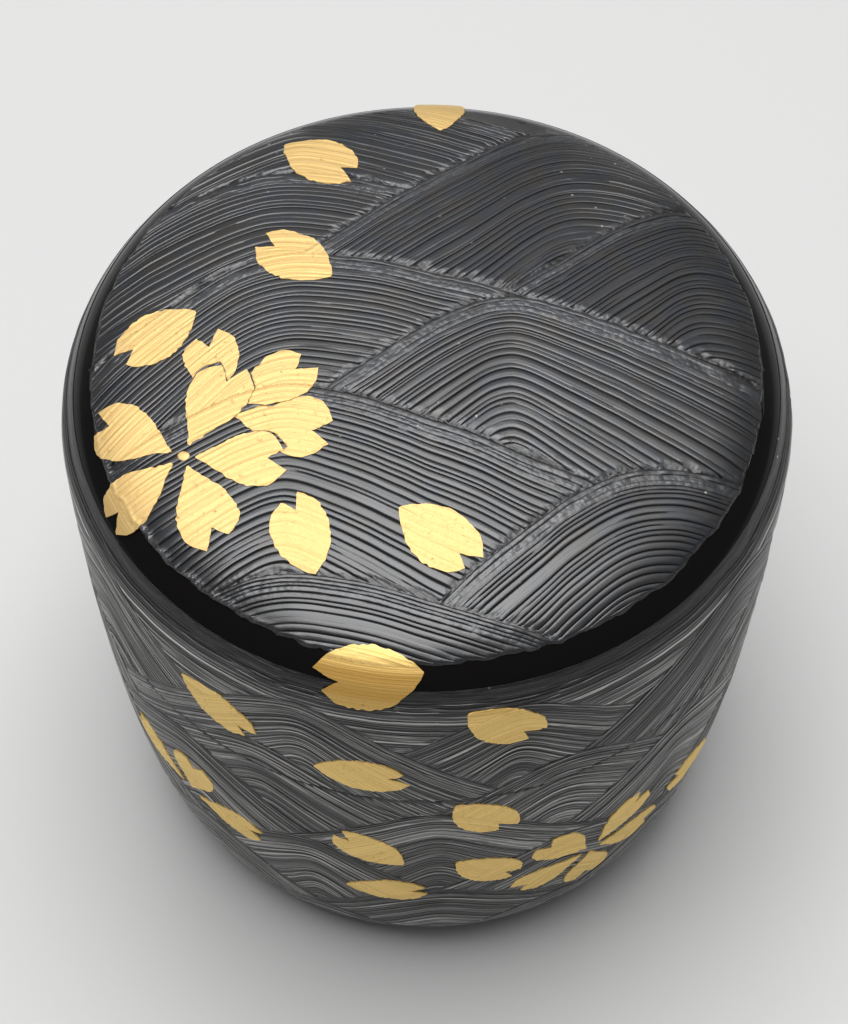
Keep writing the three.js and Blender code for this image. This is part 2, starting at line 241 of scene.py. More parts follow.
def outlinePoints():
    s = shape
    crownRadius = s["widest"] - s["shoulderReach"]
    widestHeight = s["height"] - s["shoulderDrop"]
    heelRadius = s["widest"] - s["heelInset"]
    footRadius = heelRadius - s["footInset"]
    top = np.array([0, s["height"]])
    edge = np.array([crownRadius, s["height"] - s["crownRise"]])
    widest = np.array([s["widest"], widestHeight])
    heel = np.array([heelRadius, s["heelHeight"]])
    foot = np.array([footRadius, 0.0])
    fall = np.array([crownRadius, -2 * s["crownRise"]])
    fall = fall / np.linalg.norm(fall)
    lean = math.radians(s["heelLean"])
    under = np.array([-math.sin(lean), -math.cos(lean)])
    out, down = np.array([1.0, 0]), np.array([0, -1.0])
    shoulderFall = edge[1] - widestHeight
    sideFall = widestHeight - s["heelHeight"]
    curves = [
        (top, top + out * crownRadius / 3, edge - fall * crownRadius / 3, edge),
        (edge, edge + fall * s["shoulderReach"] * s["shoulderPull"][0],
         widest - down * shoulderFall * s["shoulderPull"][1], widest),
        (widest, widest + down * sideFall * s["sidePull"][0],
         heel - under * sideFall * s["sidePull"][1], heel),
        (heel, heel + under * s["footInset"] * s["heelPull"][0],
         foot + out * s["footInset"] * s["heelPull"][1], foot)]
    pieces = [bezier(curve) for curve in curves]
    ends = np.cumsum([np.linalg.norm(np.diff(piece, axis=0), axis=1).sum() for piece in pieces])
    points = np.concatenate([pieces[0]] + [piece[1:] for piece in pieces[1:]])
    return points, ends


outline, curveEnds = outlinePoints()
outlineSteps = np.linalg.norm(np.diff(outline, axis=0), axis=1)
outlineLengths = np.concatenate([[0], np.cumsum(outlineSteps)])
tangents = np.gradient(outline, outlineLengths, axis=0)
tangents /= np.linalg.norm(tangents, axis=1)[:, None]
crownEnd, shoulderEnd, sideEnd, outlineLength = curveEnds


def ring(length, depth):
    # Radius and height of a point so far down the outline and so deep under it
    radius = np.interp(length, outlineLengths, outline[:, 0])
    level = np.interp(length, outlineLengths, outline[:, 1])
    tangentR = np.interp(length, outlineLengths, tangents[:, 0])
    tangentZ = np.interp(length, outlineLengths, tangents[:, 1])
    return radius + tangentZ * depth, level - tangentR * depth


def lengthAtHeight(level):
    return float(np.interp(-level, -outline[:, 1], outlineLengths))


seatHeight = shape["height"] - shape["lidHeight"] - shape["seatGap"]
seamHeight = seatHeight + shape["seamAbove"]
lidSeam = lengthAtHeight(seamHeight)
bodySeam = lengthAtHeight(seatHeight)
crownCombEnd = crownEnd + shape["combStart"]
sideCombStart = crownCombEnd + shape["band"]
print("outline:", curveEnds.round(2), "seam", round(lidSeam, 2))


# finishes

combedColours = {
    "coolTop": (0.017, 0.02, 0.0255, 1), "warmTop": (0.0245, 0.022, 0.0195, 1),
    # The pale side-top colour is painted sheen on the sides' ridge tops
    "sideTopSheen": (0.56, 0.552, 0.535, 1), "crumb": (0.085, 0.09, 0.1, 1),
    # The groove colour is painted shade for the bottoms of the grooves
    "groove": (0.0034, 0.0031, 0.003, 1), "speck": (0.32, 0.31, 0.28, 1),
}


def combedLacquer():
    finish, colours = Finish("combedLacquer"), combedColours
    relief, crumb = finish.attribute("relief"), finish.attribute("crumb")
    gloss, fineness = finish.attribute("gloss"), finish.attribute("fineness")
    cloud = finish.noise(120.0, 3.0)
    warmth = finish.noise(420.0)
    grain = finish.noise(5200.0, 2.0, 0.6)
    dusty = finish.noise(70.0, 1.0).between(0.50, 0.62)
    specks = (1 - finish.cells(560.0).between(0.035, 0.075)) * dusty
    fine = finish.fineLines().between(0.34, 0.62)
    tops = finish.mix(warmth.between(0.35, 0.7), colours["coolTop"], colours["warmTop"])
    # The side coat's tops take the pale painted sheen colour
    tops = finish.mix(fineness, tops, colours["sideTopSheen"])
    tops = finish.mix(crumb.between(0.4, 0.9) * 0.5, tops, colours["crumb"])
    # Painted sheen: the sides' ridges are pale grey only along their tops, between their scratches
    narrow = 1 - (1 - relief.between(0.4, 0.95)) * fineness * 0.8
    # Painted shade: lit falls towards 0 down in the grooves and along the scratches, and the colour
    # darkens there to the groove colour
    lit = relief.between(0.1, 0.8) * narrow * (1 - (1 - fine) * (fineness * 0.82 + 0.08))
    colour = finish.mix(lit, colours["groove"], tops)
    rough = (cloud * 0.10 + 0.26 + (1 - relief) * 0.18) * (1 - gloss * 0.6)
    finish.set(Base_Color=finish.mix(specks, colour, colours["speck"]), Roughness=rough,
               Specular_IOR_Level=0.59)
    crumbs = (1 - finish.cells(1750.0).between(0.1, 0.8)) * crumb * crumb
    texture = crumbs + grain * 0.07 + fine * (fineness * 0.8 + 0.05)
    finish.bump(texture * (1 - gloss * 0.85), 0.00011, 0.8)
    return finish.material


def groundLacquer():
    finish = Finish("groundLacquer")
    wave = finish.noise(90.0)
    finish.set(Base_Color=(0.0032, 0.0028, 0.0026, 1), Roughness=wave * 0.05 + 0.09,
               Specular_IOR_Level=0.15)
    finish.bump(wave, 0.00006, 0.25)
    return finish.material


def liningLacquer():
    finish = Finish("liningLacquer")
    wave = finish.noise(60.0)
    colour = finish.mix(wave, (0.0045, 0.0035, 0.0032, 1), (0.0062, 0.0046, 0.004, 1))
    finish.set(Base_Color=colour, Roughness=wave * 0.05 + 0.09)
    finish.bump(wave, 0.00008, 0.3)
    return finish.material


def turnedWood():
    finish = Finish("turnedWood")
    grain = finish.noise(40.0, 4.0, 0.6, finish.place((9, 9, 1)))
    pores = finish.noise(900.0, 2.0, 0.5, finish.place((3, 3, 0.35)))
    colour = finish.mix(grain, (0.24, 0.125, 0.052, 1), (0.42, 0.25, 0.12, 1))
    colour = finish.mix(pores.between(0.5, 0.7) * 0.5, colour, (0.16, 0.08, 0.035, 1))
    finish.set(Base_Color=colour, Roughness=pores * 0.2 + 0.55)
    finish.bump(pores, 0.00005, 0.5)
    return finish.material


goldColours = {
    "deep": (0.705, 0.515, 0.218, 1), "pale": (0.755, 0.57, 0.282, 1),
    # The side colour is painted light: the gold on the sides is made brighter than on the crown
    "side": (0.95, 0.735, 0.31, 1), "line": (0.52, 0.31, 0.07, 1),
    # The over-band colour is painted shade for gold lying over the dark band
    "overBandShade": (0.50, 0.285, 0.055, 1), "worn": (0.36, 0.19, 0.045, 1),
}


def goldLacquer():
    finish, colours = Finish("goldLacquer"), goldColours
    relief, fineness = finish.attribute("relief"), finish.attribute("fineness")
    cloud = finish.noise(260.0, 3.0, 0.6)
    powder = finish.noise(5200.0, 2.0, 0.6)
    worn = finish.noise(2000.0, 3.0, 0.7).between(0.60, 0.70) * cloud.between(0.40, 0.60)
    fine = finish.fineLines()
    bright = finish.mix(cloud, colours["deep"], colours["pale"])
    # Painted light: the gold on the sides is brighter
    bright = finish.mix(fineness, bright, colours["side"])
    # Painted shade of the ridges beneath: the gold darkens to the line colour over the grooves, and
    # along the scratches, more so on the sides
    lines = (1 - relief.between(0.1, 0.8)) * 0.10 + (1 - fine) * 0.08
    colour = finish.mix(lines * (fineness * 2 + 1), bright, colours["line"])
    # Painted shade: the gold over the band is darker and browner
    colour = finish.mix(finish.attribute("overBandShade") * 0.7, colour, colours["overBandShade"])
    finish.set(Base_Color=finish.mix(worn * 0.55, colour, colours["worn"]), Metallic=1.0,
               Roughness=powder * 0.16 + 0.62 + worn * 0.1)
    finish.bump(powder + fine, 0.00002, 0.6)
    return finish.material


finishes = {
    "combed_lacquer": combedLacquer(), "ground_lacquer": groundLacquer(),
    "lining_lacquer": liningLacquer(), "turned_wood": turnedWood(), "gold_lacquer": goldLacquer(),
}


def paint(piece, finish):
    piece.data.materials.clear()
    piece.data.materials.append(finishes[finish])


def finishPiece(piece, body, node, finish):
    paint(piece, finish)
    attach(piece, body)
    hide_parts(node)


def faceOutwards(smoothAngle, weld=None):
    # Turns the active piece's faces outwards, and smooths its shading
    bpy.ops.object.mode_set(mode="EDIT")
    bpy.ops.mesh.select_all(action="SELECT")
    if weld:
        bpy.ops.mesh.remove_doubles(threshold=weld)
    bpy.ops.mesh.normals_make_consistent(inside=False)
    bpy.ops.object.mode_set(mode="OBJECT")
    bpy.ops.object.shade_smooth_by_angle(angle=math.radians(smoothAngle))


def selectOnly(piece):
    bpy.ops.object.select_all(action="DESELECT")
    piece.select_set(True)
    bpy.context.view_layer.objects.active = piece


def storeValues(mesh, name, values):
    layer = mesh.attributes.new(name, "FLOAT", "POINT")
    layer.data.foreach_set("value", values.astype(np.float32))


def readPoints(mesh):
    co = np.empty(len(mesh.vertices) * 3)
    mesh.vertices.foreach_get("co", co)
    return co.reshape(-1, 3)


def unit(value):
    return np.clip(value, 0, 1)


def hump(value, centre, width):
    return np.exp(-((value - centre) / width) ** 2)


# combing: families of ridges, each laid over the ones behind it

combing = {
    "thickness": 0.30, "sideStart": 2.2, "rimRise": 0.1, "endReach": 0.8, "endLength": 0.34,
    "afterEdge": 0.03, "beforeEdge": 0.06, "edgeStep": 0.02, "openEnd": 9.0, "ridges": 150,
}
chanceTable = np.random.default_rng(11).random(8192)


def smoothChance(key, t):
    # Smooth noise along t between 0 and 1, with its own run for each whole-number key
    cell = np.floor(t).astype(int)
    part = t - cell
    part = part * part * (3 - 2 * part)
    cell = cell + key * 97
    first, second = chanceTable[cell % len(chanceTable)], chanceTable[(cell + 1) % len(chanceTable)]
    return first + (second - first) * part


class Waves:
    # Each wave: crest (u, v), slopes of its legs, roundness and fan. v grows towards the viewer.
    def __init__(self, rows, girth, seed, pitch, depth, crumble, thinFirst, lowest, flatness,
                 fineness):
        self.u, self.v, left, right, self.round, self.fan = np.array(rows, float).T
        self.tilt = (right + left) / 2
        self.reach = (right - left) / 2
        self.spring = np.sqrt(np.maximum(self.reach ** 2 - self.tilt ** 2, 1e-6))
        self.crestShift = self.round * self.tilt / self.spring
        self.girth, self.seed, self.pitch, self.depth = girth, seed, pitch, depth
        self.crumble, self.flatness, self.fineness = crumble, flatness, fineness
        own = np.random.default_rng(seed)
        size = (len(rows), combing["ridges"])
        self.widths = own.uniform(0.66, 1.34, size)
        self.widths *= np.where(own.random(size) < 0.14, 0.6, 1.0)
        self.widths *= np.interp(np.arange(size[1]), (0, 4, 9, 16), (thinFirst, thinFirst, 1, 1.2))
        self.starts = np.zeros((len(rows), size[1] + 1))
        self.starts[:, 1:] = np.cumsum(self.widths, axis=1)
        self.heights = own.uniform(lowest, 1.0, size)
        shallow = own.random(size) < 0.32
        self.grooves = np.where(shallow, own.uniform(0.45, 0.8, size), own.uniform(0, 0.22, size))

    def edge(self, wave, u):
        # Where the wave's outermost ridge runs, and how wide its ridges are there
        t = u - self.u[wave]
        if self.girth:
            t = (t + self.girth / 2) % self.girth - self.girth / 2
        bend = t - self.crestShift[wave]
        arc = np.sqrt(bend ** 2 + self.round[wave] ** 2)
        base = self.tilt[wave] * bend + self.reach[wave] * arc
        low = self.spring[wave] * self.round[wave]
        hand = 0.32 * (smoothChance(wave + self.seed, u / 4.3) - 0.5)
        hand = hand + 0.07 * (smoothChance(wave + 57 + self.seed, u / 1.7) - 0.5)
        slope = self.tilt[wave] + self.reach[wave] * bend / arc
        widen = (1 + self.fan[wave] * np.maximum(t, 0)) * np.sqrt(1 + slope ** 2)
        return self.v[wave] + base - low + hand, self.pitch * widen

    def edges(self, u):
        return np.array([self.edge(wave, u) for wave in range(len(self.u))]).swapaxes(0, 1)

    def across(self, wave, place):
        # Ridge number and the share of the way across it, for places in pitches from the edge
        place = np.maximum(place, 0)
        number = np.empty(place.shape, int)
        for one in np.unique(wave):
            chosen = wave == one
            number[chosen] = np.searchsorted(self.starts[one], place[chosen], side="right") - 1
        number = np.clip(number, 0, combing["ridges"] - 2)
        share = (place - self.starts[wave, number]) / self.widths[wave, number]
        return number, unit(share)

    def height(self, wave, number, across, u, toEnd, calm=False):
        # 0 in the bottom of a groove, 1 on top of the highest ridge
        groove = number + (across > 0.5)
        key = wave * 211 + number * 3 + self.seed
        deep = smoothChance(wave * 211 + groove * 3 + 32, u / 3.1)
        valley = self.grooves[wave, groove] * (0.5 + deep)
        # Crumbs of the covered ridges fill some of the grooves near the wave's edge
        filled = smoothChance(wave * 211 + groove * 5 + 77, u / 0.55)
        filled = np.where((groove >= 2) & (groove <= 4), filled, 0)
        filled = np.clip(filled * 2.6 - 1.4, 0, 0.85) * self.crumble * (not calm)
        valley = np.maximum(valley, filled)
        form = 1 - np.abs(2 * across - 1) ** (2 if calm else self.flatness)
        uneven = 0.86 + 0.24 * smoothChance(key, u / 2.6)
        ridge = (valley + (1 - valley) * form) * self.heights[wave, number] * uneven
        if calm:
            return unit(ridge)
        beads = np.minimum(0.5 + 0.6 * smoothChance(key + 5, u / 0.8), 1)
        beads = np.where(number < 2, beads, 1.0)
        stop = 0.1 + combing["endReach"] * smoothChance(key + 9, u / 1.9) ** 2
        toTip = np.minimum(toEnd, combing["openEnd"]) - stop
        past = unit(toTip / combing["endLength"])
        tip = np.sqrt(1 - (1 - past) ** 2) * (1 + 0.14 * hump(toTip, 0.28, 0.22))
        broken = (1 - self.crumble * (1 - beads)) * (1 - self.crumble * 0.8 * (1 - tip))
        return unit(ridge * broken)

    def at(self, u, v):
        # Height of the combing at any points, without its breaks
        edges, pitches = self.edges(u)
        order = np.arange(len(self.u))[:, None]
        wave = np.maximum(np.where(edges <= v, order, -1).max(axis=0), 0)
        every = np.arange(len(u))
        number, across = self.across(wave, (v - edges[wave, every]) / pitches[wave, every])
        height = self.height(wave, number, across, u, combing["openEnd"], True)
        return height, number + across


crownSteps = np.array([0.0, 0.09, 0.21, 0.5, 0.79, 0.91])
sideSteps = np.array([0.0, 0.18, 0.5, 0.82])
keysPerWave = 100000
noKey = 10 ** 12


def combColumn(waves, u, start, end, steps, edges, pitches):
    # Points down one column: v, a key that matches the next column's, height, crumbs and phase
    wave = max([index for index, edge in enumerate(edges) if edge <= start], default=0)
    now, rows = start, []
    while now < end:
        later = [(edge, index) for index, edge in enumerate(edges)
                 if index > wave and now < edge < end]
        stop, following = min(later, default=(end, None))
        grid = waves.starts[wave, :-2, None] + waves.widths[wave, :-1, None] * steps[None, :]
        down = edges[wave] + pitches[wave] * grid.ravel()
        clear = (down > now + combing["afterEdge"]) & (down < stop - combing["beforeEdge"])
        keep = np.nonzero(clear)[0]
        last = stop if following is None else stop - combing["edgeStep"]
        inside = np.concatenate([[now], down[keep], [last]])
        keys = np.concatenate([[0], keep + 1, [keysPerWave - 1]]) + wave * keysPerWave
        many = np.full(len(inside), wave)
        number, across = waves.across(many, (inside - edges[wave]) / pitches[wave])
        number[1:-1], across[1:-1] = keep // len(steps), steps[keep % len(steps)]
        toEnd = stop - inside
        if following is None:
            toEnd = np.full(len(inside), combing["openEnd"])
        height = waves.height(many, number, across, np.full(len(inside), u), toEnd)
        crumb = np.maximum(1 - toEnd / 1.5, 0.8 * hump(inside - edges[wave], 1.0, 1.1))
        crumb = unit(crumb) * waves.crumble
        rows.append((inside, keys, height, crumb, number + across))
        if following is None:
            break
        now, wave = stop, following
    return [np.concatenate(row) for row in zip(*rows)]


def joinColumns(leftKeys, rightKeys, leftStart, rightStart):
    # Faces between two columns, whose equal keys are joined
    faces, i, k = [], 0, 0
    lastI, lastK = len(leftKeys) - 1, len(rightKeys) - 1
    while i < lastI or k < lastK:
        a = leftKeys[i + 1] if i < lastI else noKey
        b = rightKeys[k + 1] if k < lastK else noKey
        if a == b:
            faces.append((leftStart + i, leftStart + i + 1, rightStart + k + 1, rightStart + k))
            i, k = i + 1, k + 1
        elif a < b:
            faces.append((leftStart + i, leftStart + i + 1, rightStart + k))
            i += 1
        else:
            faces.append((leftStart + i, rightStart + k + 1, rightStart + k))
            k += 1
    return faces


def coatFaces(topKeys, around, underCount):
    # Faces of the top, the underside and the edges
    lengths = [len(keys) for keys in topKeys]
    *starts, underStart = np.concatenate([[0], np.cumsum(lengths)]).tolist()
    faces = []
    for left in range(len(starts) if around else len(starts) - 1):
        right = (left + 1) % len(starts)
        faces.extend(joinColumns(topKeys[left], topKeys[right], starts[left], starts[right]))
        a, b = underStart + left * underCount, underStart + right * underCount
        for step in range(underCount - 1):
            faces.append((a + step, b + step, b + step + 1, a + step + 1))
        leftEnd, rightEnd = starts[left] + lengths[left] - 1, starts[right] + lengths[right] - 1
        faces.append((a, starts[left], starts[right], b))
        faces.append((a + underCount - 1, b + underCount - 1, rightEnd, leftEnd))
    if not around:
        for side in (0, len(starts) - 1):
            top = [starts[side] + step for step in range(lengths[side])]
            under = [underStart + side * underCount + step for step in range(underCount)]
            loop = top + under[::-1]
            faces.append(loop[::-1] if side == 0 else loop)
    return faces


def combPiece(name, body, node, waves, columns, edgeShape, toPoint, around, underCount, steps):
    # A combed coat: a ridged top made of columns, and a plain underside
    rows, topKeys, undersides = [], [], []
    edges, pitches = (table.T for table in waves.edges(np.array([column[0] for column in columns])))
    for index, (u, start, end) in enumerate(columns):
        v, keys, height, crumb, phase = combColumn(waves, u, start, end, steps, edges[index],
                                                   pitches[index])
        every = np.full(len(v), u)
        fade, edgeDepth, rim, shade = edgeShape(every, v)
        height = np.maximum(height * fade, rim)
        ridged = waves.depth * (1 - height) * fade
        plain = (edgeDepth - waves.depth * rim) * (1 - fade)
        top = toPoint(every, v, ridged + plain - combing["rimRise"] * rim)
        # The relief value carries each edge's painted shade into the colour
        rows.append((top, height * shade, np.maximum(crumb, rim), phase,
                     np.full(len(v), waves.fineness), 1 - shade))
        topKeys.append(keys.tolist())
        under = np.linspace(start, end, underCount)
        undersides.append(toPoint(np.full(underCount, u), under, combing["thickness"]))
    mesh = bpy.data.meshes.new(name)
    tops, *values = (list(row) for row in zip(*rows))
    points = np.concatenate(tops + undersides) * mm
    mesh.from_pydata(points.tolist(), [], coatFaces(topKeys, around, underCount))
    below = np.zeros(len(undersides) * underCount)
    for attribute, table in zip(("relief", "crumb", "phase", "fineness", "gloss"), values):
        storeValues(mesh, attribute, np.concatenate(table + [below]))
    piece = addObject(name, mesh)
    selectOnly(piece)
    faceOutwards(70)
    # The wide faces keep the ridges' tops flat in the shading
    flatten = piece.modifiers.new("flatten", "WEIGHTED_NORMAL")
    flatten.weight = 80
    flatten.keep_sharp = True
    bpy.ops.object.modifier_apply(modifier=flatten.name)
    print(name, len(mesh.polygons), "faces")
    finishPiece(piece, body, node, "combed_lacquer")


# Crown waves, from the back to the front, as the photo shows them
crownRows = [
    (-12.0, -34.0, -0.50, 0.42, 5.0, 0.0),
    (-14.0, -21.0, -0.62, 0.34, 6.0, 0.0),
    (15.6, -27.4, -0.84, 0.24, 6.0, 0.0),
    (26.0, -17.6, -0.86, 0.25, 4.5, 0.0),
    (-11.6, -10.4, -1.00, 0.37, 8.0, 0.0),
    (7.5, -5.2, -0.82, 0.42, 4.6, 0.018),
    (-12.3, 4.3, -0.62, 0.46, 6.5, 0.010),
    (22.0, 12.2, -1.08, 0.34, 8.5, 0.0),
    (-12.5, 22.6, -0.66, 0.34, 6.5, 0.0),
]
crownWaves = Waves(crownRows, girth=0, seed=3, pitch=0.64, depth=0.22, crumble=1.0, thinFirst=0.74,
                   lowest=0.76, flatness=9.0, fineness=0.0)
crownBorder = {
    "fade": 0.26, "depth": 0.23, "rimPlace": 0.3, "rimWidth": 0.22,
    # Where the painted shade near the crown's rim starts, how far it spreads, and how dark it gets
    "shadeFrom": 19, "shadeReach": 10, "shade": 0.4,
}


def pointAt(length, azimuth, depth):
    radius, level = ring(length, depth)
    return np.stack([radius * np.cos(azimuth), radius * np.sin(azimuth), level], axis=1)


def crownPoint(u, v, depth):
    return pointAt(np.hypot(u, v), np.arctan2(-v, u), depth)


def crownRag(azimuth):
    coarse, fine = smoothChance(901, azimuth * 22 + 90), smoothChance(902, azimuth * 61 + 200)
    return 0.42 * coarse + 0.22 * fine


def crownRim(azimuth, length):
    # How far inside the coat's edge, and the crumbly raised rim there, most at the front left
    inside = crownCombEnd - crownRag(azimuth) - length
    bearing = np.degrees(azimuth)
    strength = 0.25 + 0.95 * hump(bearing, -138, 28) + 0.5 * hump(bearing, -75, 24)
    beads = 0.45 + 0.75 * smoothChance(905, azimuth * 62 + 300)
    rim = strength * beads * hump(inside, crownBorder["rimPlace"], crownBorder["rimWidth"])
    return inside, unit(rim * unit(inside * 10))


def crownEdge(u, v):
    length = np.hypot(u, v)
    inside, rim = crownRim(np.arctan2(-v, u), length)
    # Painted shade: the coat's colour darkens outwards towards the crown's rim, though not on the
    # raised rim itself
    out = unit((length - crownBorder["shadeFrom"]) / crownBorder["shadeReach"])
    shade = np.maximum(1 - crownBorder["shade"] * out, rim)
    return unit(inside / crownBorder["fade"]), crownBorder["depth"], rim, shade


def crownColumns(count):
    # Columns crowd towards the left and right ends, so that the round edge is evenly stepped
    columns = []
    for index in range(count):
        angle = math.pi * (index + 0.5) / count
        u = -math.cos(angle) * crownCombEnd
        bearings = np.arctan2([math.sin(angle), -math.sin(angle)], -math.cos(angle))
        reach = crownCombEnd - crownRag(bearings)
        back, front = np.sqrt(np.maximum(reach ** 2 - u * u, 0.02))
        columns.append((u, -back, front))
    return columns


combPiece("lidCrownComb", "lid", "lid_crown_combed_lacquer", crownWaves, crownColumns(236),
          crownEdge, crownPoint, False, 14, crownSteps)

# Side waves: rows of arches from the shoulder down, each row over the one above it
girthRadius = 33.0
girth = 2 * math.pi * girthRadius
arches = [-44, 44, 132, -132, -88, 0, 88, 176]
archesBetween = [-66, 22, 110, -160, -110, -22, 66, 154]
sideRowPlaces = [
    (36.5, [-75.9, 5, 87, 169, -149.9, -109.9, -34.7, 46, 128]),
    (48.1, [-25, 61, 147, -117, -68, 18, 104, -170]),
    (55.6, arches), (66.0, archesBetween), (75.5, arches), (85.0, archesBetween),
]


def sideRows():
    own = np.random.default_rng(29)
    rows = [(0.0, 30.2, -0.0005, 0.0005, 30.0, 0.0)]
    for level, bearings in sideRowPlaces:
        for bearing in bearings:
            shift, left, right, roundness = own.uniform(-1, 1, 4)
            rows.append((math.radians(bearing) * girthRadius, level + 0.6 * shift,
                         -0.98 + 0.14 * left, 0.98 + 0.14 * right, 4.6 + 1.2 * roundness, 0.0))
    return rows


sideWaves = Waves(sideRows(), girth, seed=71, pitch=0.43, depth=0.25, crumble=0.45, thinFirst=0.9,
                  lowest=0.42, flatness=2.2, fineness=1.0)
sideStart = crownCombEnd + combing["sideStart"]
sideBorder = {
    "topFade": 2.2, "seamFade": 0.06, "heelFade": 0.6, "topDepth": 0.215, "heelDepth": 0.15,
    # darkReach, darkFade and leastLight set the painted shade below the band
    "darkReach": 0.9, "darkFade": 2.6, "leastLight": 0.05,
}


def sidePoint(u, v, depth):
    return pointAt(v, u / girthRadius, depth)


def sideEdge(u, v):
    # The coat comes up slowly out of the band, and thins at the seam and at the heel. Its colour
    # carries painted shade over the first few millimetres below the band
    top = unit((v - sideStart) / sideBorder["topFade"])
    seam = unit(np.maximum(lidSeam - v, v - bodySeam) / sideBorder["seamFade"])
    heel = unit((sideEnd - v) / sideBorder["heelFade"])
    light = (v - sideStart - sideBorder["darkReach"]) / sideBorder["darkFade"]
    depth = np.where(v < lidSeam - 2, sideBorder["topDepth"], sideBorder["heelDepth"])
    return top * seam * heel, depth, 0.0, np.clip(light, sideBorder["leastLight"], 1)


def sideColumns(count, start, end):
    return [(girth * index / count, start, end) for index in range(count)]


combPiece("lidSideComb", "lid", "lid_side_combed_lacquer", sideWaves,
          sideColumns(420, sideStart, lidSeam), sideEdge, sidePoint, True, 6, sideSteps)
combPiece("bodySideComb", "body", "body_side_combed_lacquer", sideWaves,
          sideColumns(264, bodySeam, sideEnd), sideEdge, sidePoint, True, 10, sideSteps)


def reliefDepth(lay, u, v):
    # How deep the surface under a petal lies, on the combing or on the smooth band
    if lay == "crown":
        length, azimuth = np.hypot(u, v), np.arctan2(-v, u)
    else:
        length, azimuth = v, u / girthRadius
    crown, crownPhase = crownWaves.at(length * np.cos(azimuth), -length * np.sin(azimuth))
    side, sidePhase = sideWaves.at(azimuth * girthRadius, length)
    onCrownComb = unit((crownCombEnd + 0.15 - length) / 0.35)
    onSideComb = unit((length - sideStart) / 0.8)
    band = 1 - onCrownComb - onSideComb
    # The smooth band has only long soft lines round it
    lines = 0.5 + 0.5 * np.sin(length * 4.2 + 2.5 * smoothChance(907, azimuth * 9 + 60))
    far = unit((length - sideStart - 1.2) / 1.3)
    rim = crownRim(azimuth, length)[1]
    crown = np.maximum(crown, rim)
    depth = onCrownComb * crownWaves.depth * (1 - crown) + band * (0.25 - 0.06 * lines)
    depth -= combing["rimRise"] * rim
    depth += onSideComb * sideWaves.depth * (far * (1 - side) + (1 - far) * 0.2 * (1 - lines))
    phase = np.where(far > 0.5, sidePhase, length * 2)
    phase = np.where(onCrownComb > 0.5, crownPhase, phase)
    side = far * side + (1 - far) * (0.1 + 0.8 * lines)
    return depth, onCrownComb * crown + (1 - onCrownComb) * side, phase


# turned pieces

weld = 0.000002


def soften(section, cut, bends=3):
    # Rounds the corners of a closed section
    section = np.array(section, float)
    rounded = []
    for index, corner in enumerate(section):
        before, after = section[index - 1] - corner, section[(index + 1) % len(section)] - corner
        lengthBefore, lengthAfter = np.linalg.norm(before), np.linalg.norm(after)
        turn = np.dot(before, after) / (lengthBefore * lengthAfter)
        if turn < -0.9 or corner[0] < 1e-6:
            rounded.append(corner)
            continue
        reach = min(cut, lengthBefore * 0.45, lengthAfter * 0.45)
        first, last = corner + before / lengthBefore * reach, corner + after / lengthAfter * reach
        for t in np.linspace(0, 1, bends + 1):
            rounded.append((1 - t) ** 2 * first + 2 * t * (1 - t) * corner + t * t * last)
    return rounded


def turnPiece(name, body, node, finish, section, steps=240):
    # A circle is laid out as the section, then turned round the axis
    bpy.ops.mesh.primitive_circle_add(vertices=len(section), radius=0.01, location=(0, 0, 0))
    piece = bpy.context.object
    piece.name = piece.data.name = name
    for vertex, (radius, level) in zip(piece.data.vertices, section):
        vertex.co = (radius * mm, 0, level * mm)
    turning = piece.modifiers.new("turning", "SCREW")
    turning.angle = 2 * math.pi
    turning.steps = turning.render_steps = steps
    turning.use_merge_vertices = True
    turning.merge_threshold = weld
    bpy.ops.object.modifier_apply(modifier=turning.name)
    faceOutwards(40, weld)
    finishPiece(piece, body, node, finish)


def spread(*stops):
    # Lengths from stop to stop, at the spacing given between them
    lengths = [stops[0]]
    for spacing, stop in zip(stops[1::2], stops[2::2]):
        steps = max(1, round((stop - lengths[-1]) / spacing))
        lengths.extend(np.linspace(lengths[-1], stop, steps + 1)[1:])
    return np.array(lengths)


def face(lengths, depth, level=None, atStart=False):
    radius, height = ring(lengths, depth)
    radius[np.array(lengths) == 0] = 0
    if level is not None:
        height[0 if atStart else -1] = level
    return list(zip(radius, height))


layers = {
    "band": 0.27, "underComb": 0.33, "groundBack": 0.70, "coreFace": 0.78, "lining": 0.35,
    "wall": 4.0, "overlap": 0.9, "fade": 0.3,
}


def groundDepths(lengths):
    # The ground coat stands a little higher where it shows as the band and the heel
    overlap, fade = layers["overlap"], layers["fade"]
    band = unit((lengths - crownCombEnd + overlap) / fade)
    band = band * unit((sideStart + overlap - lengths) / fade)
    heel = unit((lengths - sideEnd + overlap) / fade)
    shown = np.maximum(band, heel)
    return layers["underComb"] + (layers["band"] - layers["underComb"]) * shown


def lidGroundSection():
    out = spread(0, 2.0, crownCombEnd - 1.2, 0.15, sideStart + 1.2, 1.2, lidSeam)
    back = spread(0, 3.0, crownEnd, 1.0, shoulderEnd, 2.5, lidSeam)
    return (face(out, groundDepths(out), seamHeight)
            + face(back, layers["groundBack"], seamHeight)[::-1])


turnPiece("lidGround", "lid", "lid_ground_lacquer", "ground_lacquer", lidGroundSection(), 320)

def lidLiningSection():
    lengths = spread(0, 3.0, crownEnd, 0.8, shoulderEnd, 2.0, lidSeam)
    backLevel = seamHeight + layers["lining"]
    inside = face(lengths, shape["lidWall"], seamHeight)
    back = face(lengths, shape["lidWall"] - layers["lining"], backLevel)
    rimRadius = ring(lidSeam, layers["coreFace"])[0]
    return inside + [(rimRadius, seamHeight), (rimRadius, backLevel)] + back[::-1]


